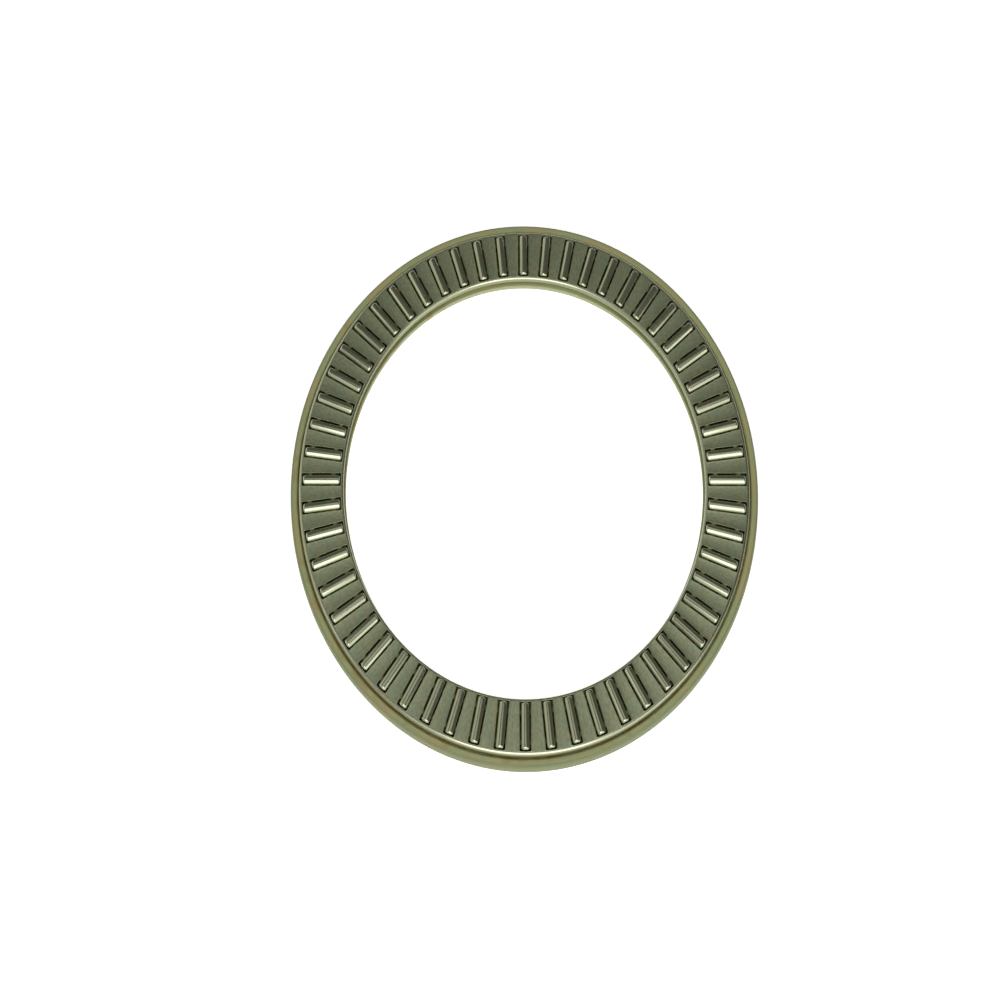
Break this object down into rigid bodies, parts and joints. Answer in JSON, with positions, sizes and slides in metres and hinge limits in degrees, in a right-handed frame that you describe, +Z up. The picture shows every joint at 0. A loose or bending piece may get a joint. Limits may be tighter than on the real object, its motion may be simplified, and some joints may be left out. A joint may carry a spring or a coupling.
{
  "type": "thrust needle roller bearing",
  "caption": "Thrust needle roller bearing: radial needle rollers in a flat two-piece sheet-metal cage, lying in one race with an outer lip.",
  "frame": {"origin": "centre of the race's bottom face", "axes": "+Z up along the axis of rotation, from the race's bottom face towards the open side of the rollers; +X along the first roller"},
  "size_m": [0.0986, 0.0986, 0.003],
  "materials": {
    "race_steel": "ground, lightly stained",
    "cage_steel": "fine radial brushing",
    "cage_inner_steel": "satin",
    "roller_steel": "polished"
  },
  "bodies": {
    "race": {"outer_race": "race_steel"},
    "cage": {"cage_cover": "cage_steel", "cage_tray": "cage_inner_steel"},
    "roller_01": {"roller_01": "roller_steel"},
    "roller_02": {"roller_02": "roller_steel"},
    "roller_03": {"roller_03": "roller_steel"},
    "roller_04": {"roller_04": "roller_steel"},
    "roller_05": {"roller_05": "roller_steel"},
    "roller_06": {"roller_06": "roller_steel"},
    "roller_07": {"roller_07": "roller_steel"},
    "roller_08": {"roller_08": "roller_steel"},
    "roller_09": {"roller_09": "roller_steel"},
    "roller_10": {"roller_10": "roller_steel"},
    "roller_11": {"roller_11": "roller_steel"},
    "roller_12": {"roller_12": "roller_steel"},
    "roller_13": {"roller_13": "roller_steel"},
    "roller_14": {"roller_14": "roller_steel"},
    "roller_15": {"roller_15": "roller_steel"},
    "roller_16": {"roller_16": "roller_steel"},
    "roller_17": {"roller_17": "roller_steel"},
    "roller_18": {"roller_18": "roller_steel"},
    "roller_19": {"roller_19": "roller_steel"},
    "roller_20": {"roller_20": "roller_steel"},
    "roller_21": {"roller_21": "roller_steel"},
    "roller_22": {"roller_22": "roller_steel"},
    "roller_23": {"roller_23": "roller_steel"},
    "roller_24": {"roller_24": "roller_steel"},
    "roller_25": {"roller_25": "roller_steel"},
    "roller_26": {"roller_26": "roller_steel"},
    "roller_27": {"roller_27": "roller_steel"},
    "roller_28": {"roller_28": "roller_steel"},
    "roller_29": {"roller_29": "roller_steel"},
    "roller_30": {"roller_30": "roller_steel"},
    "roller_31": {"roller_31": "roller_steel"},
    "roller_32": {"roller_32": "roller_steel"},
    "roller_33": {"roller_33": "roller_steel"},
    "roller_34": {"roller_34": "roller_steel"},
    "roller_35": {"roller_35": "roller_steel"},
    "roller_36": {"roller_36": "roller_steel"},
    "roller_37": {"roller_37": "roller_steel"},
    "roller_38": {"roller_38": "roller_steel"},
    "roller_39": {"roller_39": "roller_steel"},
    "roller_40": {"roller_40": "roller_steel"},
    "roller_41": {"roller_41": "roller_steel"},
    "roller_42": {"roller_42": "roller_steel"},
    "roller_43": {"roller_43": "roller_steel"},
    "roller_44": {"roller_44": "roller_steel"},
    "roller_45": {"roller_45": "roller_steel"},
    "roller_46": {"roller_46": "roller_steel"},
    "roller_47": {"roller_47": "roller_steel"},
    "roller_48": {"roller_48": "roller_steel"},
    "roller_49": {"roller_49": "roller_steel"},
    "roller_50": {"roller_50": "roller_steel"},
    "roller_51": {"roller_51": "roller_steel"},
    "roller_52": {"roller_52": "roller_steel"},
    "roller_53": {"roller_53": "roller_steel"},
    "roller_54": {"roller_54": "roller_steel"},
    "roller_55": {"roller_55": "roller_steel"},
    "roller_56": {"roller_56": "roller_steel"}
  },
  "joints": [
    {"name": "cage_spin", "type": "hinge", "parent": "race", "child": "cage", "pos_m": [0, 0, 0.002], "axis": [0, 0, 1], "continuous": true},
    {"name": "roller_01_spin", "type": "hinge", "parent": "cage", "child": "roller_01", "pos_m": [0.04286, 0, 0.002], "axis": [1, 0, 0], "continuous": true},
    {"name": "roller_02_spin", "type": "hinge", "parent": "cage", "child": "roller_02", "pos_m": [0.04259, 0.0048, 0.002], "axis": [0.9937, 0.112, 0], "continuous": true},
    {"name": "roller_03_spin", "type": "hinge", "parent": "cage", "child": "roller_03", "pos_m": [0.04179, 0.00954, 0.002], "axis": [0.9749, 0.2225, 0], "continuous": true},
    {"name": "roller_04_spin", "type": "hinge", "parent": "cage", "child": "roller_04", "pos_m": [0.04046, 0.01416, 0.002], "axis": [0.9439, 0.3303, 0], "continuous": true},
    {"name": "roller_05_spin", "type": "hinge", "parent": "cage", "child": "roller_05", "pos_m": [0.03862, 0.0186, 0.002], "axis": [0.901, 0.4339, 0], "continuous": true},
    {"name": "roller_06_spin", "type": "hinge", "parent": "cage", "child": "roller_06", "pos_m": [0.03629, 0.0228, 0.002], "axis": [0.8467, 0.532, 0], "continuous": true},
    {"name": "roller_07_spin", "type": "hinge", "parent": "cage", "child": "roller_07", "pos_m": [0.03351, 0.02672, 0.002], "axis": [0.7818, 0.6235, 0], "continuous": true},
    {"name": "roller_08_spin", "type": "hinge", "parent": "cage", "child": "roller_08", "pos_m": [0.03031, 0.03031, 0.002], "axis": [0.7071, 0.7071, 0], "continuous": true},
    {"name": "roller_09_spin", "type": "hinge", "parent": "cage", "child": "roller_09", "pos_m": [0.02672, 0.03351, 0.002], "axis": [0.6235, 0.7818, 0], "continuous": true},
    {"name": "roller_10_spin", "type": "hinge", "parent": "cage", "child": "roller_10", "pos_m": [0.0228, 0.03629, 0.002], "axis": [0.532, 0.8467, 0], "continuous": true},
    {"name": "roller_11_spin", "type": "hinge", "parent": "cage", "child": "roller_11", "pos_m": [0.0186, 0.03862, 0.002], "axis": [0.4339, 0.901, 0], "continuous": true},
    {"name": "roller_12_spin", "type": "hinge", "parent": "cage", "child": "roller_12", "pos_m": [0.01416, 0.04046, 0.002], "axis": [0.3303, 0.9439, 0], "continuous": true},
    {"name": "roller_13_spin", "type": "hinge", "parent": "cage", "child": "roller_13", "pos_m": [0.00954, 0.04179, 0.002], "axis": [0.2225, 0.9749, 0], "continuous": true},
    {"name": "roller_14_spin", "type": "hinge", "parent": "cage", "child": "roller_14", "pos_m": [0.0048, 0.04259, 0.002], "axis": [0.112, 0.9937, 0], "continuous": true},
    {"name": "roller_15_spin", "type": "hinge", "parent": "cage", "child": "roller_15", "pos_m": [0, 0.04286, 0.002], "axis": [0, 1, 0], "continuous": true},
    {"name": "roller_16_spin", "type": "hinge", "parent": "cage", "child": "roller_16", "pos_m": [-0.0048, 0.04259, 0.002], "axis": [-0.112, 0.9937, 0], "continuous": true},
    {"name": "roller_17_spin", "type": "hinge", "parent": "cage", "child": "roller_17", "pos_m": [-0.00954, 0.04179, 0.002], "axis": [-0.2225, 0.9749, 0], "continuous": true},
    {"name": "roller_18_spin", "type": "hinge", "parent": "cage", "child": "roller_18", "pos_m": [-0.01416, 0.04046, 0.002], "axis": [-0.3303, 0.9439, 0], "continuous": true},
    {"name": "roller_19_spin", "type": "hinge", "parent": "cage", "child": "roller_19", "pos_m": [-0.0186, 0.03862, 0.002], "axis": [-0.4339, 0.901, 0], "continuous": true},
    {"name": "roller_20_spin", "type": "hinge", "parent": "cage", "child": "roller_20", "pos_m": [-0.0228, 0.03629, 0.002], "axis": [-0.532, 0.8467, 0], "continuous": true},
    {"name": "roller_21_spin", "type": "hinge", "parent": "cage", "child": "roller_21", "pos_m": [-0.02672, 0.03351, 0.002], "axis": [-0.6235, 0.7818, 0], "continuous": true},
    {"name": "roller_22_spin", "type": "hinge", "parent": "cage", "child": "roller_22", "pos_m": [-0.03031, 0.03031, 0.002], "axis": [-0.7071, 0.7071, 0], "continuous": true},
    {"name": "roller_23_spin", "type": "hinge", "parent": "cage", "child": "roller_23", "pos_m": [-0.03351, 0.02672, 0.002], "axis": [-0.7818, 0.6235, 0], "continuous": true},
    {"name": "roller_24_spin", "type": "hinge", "parent": "cage", "child": "roller_24", "pos_m": [-0.03629, 0.0228, 0.002], "axis": [-0.8467, 0.532, 0], "continuous": true},
    {"name": "roller_25_spin", "type": "hinge", "parent": "cage", "child": "roller_25", "pos_m": [-0.03862, 0.0186, 0.002], "axis": [-0.901, 0.4339, 0], "continuous": true},
    {"name": "roller_26_spin", "type": "hinge", "parent": "cage", "child": "roller_26", "pos_m": [-0.04046, 0.01416, 0.002], "axis": [-0.9439, 0.3303, 0], "continuous": true},
    {"name": "roller_27_spin", "type": "hinge", "parent": "cage", "child": "roller_27", "pos_m": [-0.04179, 0.00954, 0.002], "axis": [-0.9749, 0.2225, 0], "continuous": true},
    {"name": "roller_28_spin", "type": "hinge", "parent": "cage", "child": "roller_28", "pos_m": [-0.04259, 0.0048, 0.002], "axis": [-0.9937, 0.112, 0], "continuous": true},
    {"name": "roller_29_spin", "type": "hinge", "parent": "cage", "child": "roller_29", "pos_m": [-0.04286, 0, 0.002], "axis": [-1, 0, 0], "continuous": true},
    {"name": "roller_30_spin", "type": "hinge", "parent": "cage", "child": "roller_30", "pos_m": [-0.04259, -0.0048, 0.002], "axis": [-0.9937, -0.112, 0], "continuous": true},
    {"name": "roller_31_spin", "type": "hinge", "parent": "cage", "child": "roller_31", "pos_m": [-0.04179, -0.00954, 0.002], "axis": [-0.9749, -0.2225, 0], "continuous": true},
    {"name": "roller_32_spin", "type": "hinge", "parent": "cage", "child": "roller_32", "pos_m": [-0.04046, -0.01416, 0.002], "axis": [-0.9439, -0.3303, 0], "continuous": true},
    {"name": "roller_33_spin", "type": "hinge", "parent": "cage", "child": "roller_33", "pos_m": [-0.03862, -0.0186, 0.002], "axis": [-0.901, -0.4339, 0], "continuous": true},
    {"name": "roller_34_spin", "type": "hinge", "parent": "cage", "child": "roller_34", "pos_m": [-0.03629, -0.0228, 0.002], "axis": [-0.8467, -0.532, 0], "continuous": true},
    {"name": "roller_35_spin", "type": "hinge", "parent": "cage", "child": "roller_35", "pos_m": [-0.03351, -0.02672, 0.002], "axis": [-0.7818, -0.6235, 0], "continuous": true},
    {"name": "roller_36_spin", "type": "hinge", "parent": "cage", "child": "roller_36", "pos_m": [-0.03031, -0.03031, 0.002], "axis": [-0.7071, -0.7071, 0], "continuous": true},
    {"name": "roller_37_spin", "type": "hinge", "parent": "cage", "child": "roller_37", "pos_m": [-0.02672, -0.03351, 0.002], "axis": [-0.6235, -0.7818, 0], "continuous": true},
    {"name": "roller_38_spin", "type": "hinge", "parent": "cage", "child": "roller_38", "pos_m": [-0.0228, -0.03629, 0.002], "axis": [-0.532, -0.8467, 0], "continuous": true},
    {"name": "roller_39_spin", "type": "hinge", "parent": "cage", "child": "roller_39", "pos_m": [-0.0186, -0.03862, 0.002], "axis": [-0.4339, -0.901, 0], "continuous": true},
    {"name": "roller_40_spin", "type": "hinge", "parent": "cage", "child": "roller_40", "pos_m": [-0.01416, -0.04046, 0.002], "axis": [-0.3303, -0.9439, 0], "continuous": true},
    {"name": "roller_41_spin", "type": "hinge", "parent": "cage", "child": "roller_41", "pos_m": [-0.00954, -0.04179, 0.002], "axis": [-0.2225, -0.9749, 0], "continuous": true},
    {"name": "roller_42_spin", "type": "hinge", "parent": "cage", "child": "roller_42", "pos_m": [-0.0048, -0.04259, 0.002], "axis": [-0.112, -0.9937, 0], "continuous": true},
    {"name": "roller_43_spin", "type": "hinge", "parent": "cage", "child": "roller_43", "pos_m": [0, -0.04286, 0.002], "axis": [0, -1, 0], "continuous": true},
    {"name": "roller_44_spin", "type": "hinge", "parent": "cage", "child": "roller_44", "pos_m": [0.0048, -0.04259, 0.002], "axis": [0.112, -0.9937, 0], "continuous": true},
    {"name": "roller_45_spin", "type": "hinge", "parent": "cage", "child": "roller_45", "pos_m": [0.00954, -0.04179, 0.002], "axis": [0.2225, -0.9749, 0], "continuous": true},
    {"name": "roller_46_spin", "type": "hinge", "parent": "cage", "child": "roller_46", "pos_m": [0.01416, -0.04046, 0.002], "axis": [0.3303, -0.9439, 0], "continuous": true},
    {"name": "roller_47_spin", "type": "hinge", "parent": "cage", "child": "roller_47", "pos_m": [0.0186, -0.03862, 0.002], "axis": [0.4339, -0.901, 0], "continuous": true},
    {"name": "roller_48_spin", "type": "hinge", "parent": "cage", "child": "roller_48", "pos_m": [0.0228, -0.03629, 0.002], "axis": [0.532, -0.8467, 0], "continuous": true},
    {"name": "roller_49_spin", "type": "hinge", "parent": "cage", "child": "roller_49", "pos_m": [0.02672, -0.03351, 0.002], "axis": [0.6235, -0.7818, 0], "continuous": true},
    {"name": "roller_50_spin", "type": "hinge", "parent": "cage", "child": "roller_50", "pos_m": [0.03031, -0.03031, 0.002], "axis": [0.7071, -0.7071, 0], "continuous": true},
    {"name": "roller_51_spin", "type": "hinge", "parent": "cage", "child": "roller_51", "pos_m": [0.03351, -0.02672, 0.002], "axis": [0.7818, -0.6235, 0], "continuous": true},
    {"name": "roller_52_spin", "type": "hinge", "parent": "cage", "child": "roller_52", "pos_m": [0.03629, -0.0228, 0.002], "axis": [0.8467, -0.532, 0], "continuous": true},
    {"name": "roller_53_spin", "type": "hinge", "parent": "cage", "child": "roller_53", "pos_m": [0.03862, -0.0186, 0.002], "axis": [0.901, -0.4339, 0], "continuous": true},
    {"name": "roller_54_spin", "type": "hinge", "parent": "cage", "child": "roller_54", "pos_m": [0.04046, -0.01416, 0.002], "axis": [0.9439, -0.3303, 0], "continuous": true},
    {"name": "roller_55_spin", "type": "hinge", "parent": "cage", "child": "roller_55", "pos_m": [0.04179, -0.00954, 0.002], "axis": [0.9749, -0.2225, 0], "continuous": true},
    {"name": "roller_56_spin", "type": "hinge", "parent": "cage", "child": "roller_56", "pos_m": [0.04259, -0.0048, 0.002], "axis": [0.9937, -0.112, 0], "continuous": true}
  ],
  "couplings": [
    {"joint": "roller_01_spin", "follows": "cage_spin", "ratio": -43.208},
    {"joint": "roller_02_spin", "follows": "cage_spin", "ratio": -43.208},
    {"joint": "roller_03_spin", "follows": "cage_spin", "ratio": -43.208},
    {"joint": "roller_04_spin", "follows": "cage_spin", "ratio": -43.208},
    {"joint": "roller_05_spin", "follows": "cage_spin", "ratio": -43.208},
    {"joint": "roller_06_spin", "follows": "cage_spin", "ratio": -43.208},
    {"joint": "roller_07_spin", "follows": "cage_spin", "ratio": -43.208},
    {"joint": "roller_08_spin", "follows": "cage_spin", "ratio": -43.208},
    {"joint": "roller_09_spin", "follows": "cage_spin", "ratio": -43.208},
    {"joint": "roller_10_spin", "follows": "cage_spin", "ratio": -43.208},
    {"joint": "roller_11_spin", "follows": "cage_spin", "ratio": -43.208},
    {"joint": "roller_12_spin", "follows": "cage_spin", "ratio": -43.208},
    {"joint": "roller_13_spin", "follows": "cage_spin", "ratio": -43.208},
    {"joint": "roller_14_spin", "follows": "cage_spin", "ratio": -43.208},
    {"joint": "roller_15_spin", "follows": "cage_spin", "ratio": -43.208},
    {"joint": "roller_16_spin", "follows": "cage_spin", "ratio": -43.208},
    {"joint": "roller_17_spin", "follows": "cage_spin", "ratio": -43.208},
    {"joint": "roller_18_spin", "follows": "cage_spin", "ratio": -43.208},
    {"joint": "roller_19_spin", "follows": "cage_spin", "ratio": -43.208},
    {"joint": "roller_20_spin", "follows": "cage_spin", "ratio": -43.208},
    {"joint": "roller_21_spin", "follows": "cage_spin", "ratio": -43.208},
    {"joint": "roller_22_spin", "follows": "cage_spin", "ratio": -43.208},
    {"joint": "roller_23_spin", "follows": "cage_spin", "ratio": -43.208},
    {"joint": "roller_24_spin", "follows": "cage_spin", "ratio": -43.208},
    {"joint": "roller_25_spin", "follows": "cage_spin", "ratio": -43.208},
    {"joint": "roller_26_spin", "follows": "cage_spin", "ratio": -43.208},
    {"joint": "roller_27_spin", "follows": "cage_spin", "ratio": -43.208},
    {"joint": "roller_28_spin", "follows": "cage_spin", "ratio": -43.208},
    {"joint": "roller_29_spin", "follows": "cage_spin", "ratio": -43.208},
    {"joint": "roller_30_spin", "follows": "cage_spin", "ratio": -43.208},
    {"joint": "roller_31_spin", "follows": "cage_spin", "ratio": -43.208},
    {"joint": "roller_32_spin", "follows": "cage_spin", "ratio": -43.208},
    {"joint": "roller_33_spin", "follows": "cage_spin", "ratio": -43.208},
    {"joint": "roller_34_spin", "follows": "cage_spin", "ratio": -43.208},
    {"joint": "roller_35_spin", "follows": "cage_spin", "ratio": -43.208},
    {"joint": "roller_36_spin", "follows": "cage_spin", "ratio": -43.208},
    {"joint": "roller_37_spin", "follows": "cage_spin", "ratio": -43.208},
    {"joint": "roller_38_spin", "follows": "cage_spin", "ratio": -43.208},
    {"joint": "roller_39_spin", "follows": "cage_spin", "ratio": -43.208},
    {"joint": "roller_40_spin", "follows": "cage_spin", "ratio": -43.208},
    {"joint": "roller_41_spin", "follows": "cage_spin", "ratio": -43.208},
    {"joint": "roller_42_spin", "follows": "cage_spin", "ratio": -43.208},
    {"joint": "roller_43_spin", "follows": "cage_spin", "ratio": -43.208},
    {"joint": "roller_44_spin", "follows": "cage_spin", "ratio": -43.208},
    {"joint": "roller_45_spin", "follows": "cage_spin", "ratio": -43.208},
    {"joint": "roller_46_spin", "follows": "cage_spin", "ratio": -43.208},
    {"joint": "roller_47_spin", "follows": "cage_spin", "ratio": -43.208},
    {"joint": "roller_48_spin", "follows": "cage_spin", "ratio": -43.208},
    {"joint": "roller_49_spin", "follows": "cage_spin", "ratio": -43.208},
    {"joint": "roller_50_spin", "follows": "cage_spin", "ratio": -43.208},
    {"joint": "roller_51_spin", "follows": "cage_spin", "ratio": -43.208},
    {"joint": "roller_52_spin", "follows": "cage_spin", "ratio": -43.208},
    {"joint": "roller_53_spin", "follows": "cage_spin", "ratio": -43.208},
    {"joint": "roller_54_spin", "follows": "cage_spin", "ratio": -43.208},
    {"joint": "roller_55_spin", "follows": "cage_spin", "ratio": -43.208},
    {"joint": "roller_56_spin", "follows": "cage_spin", "ratio": -43.208}
  ]
}
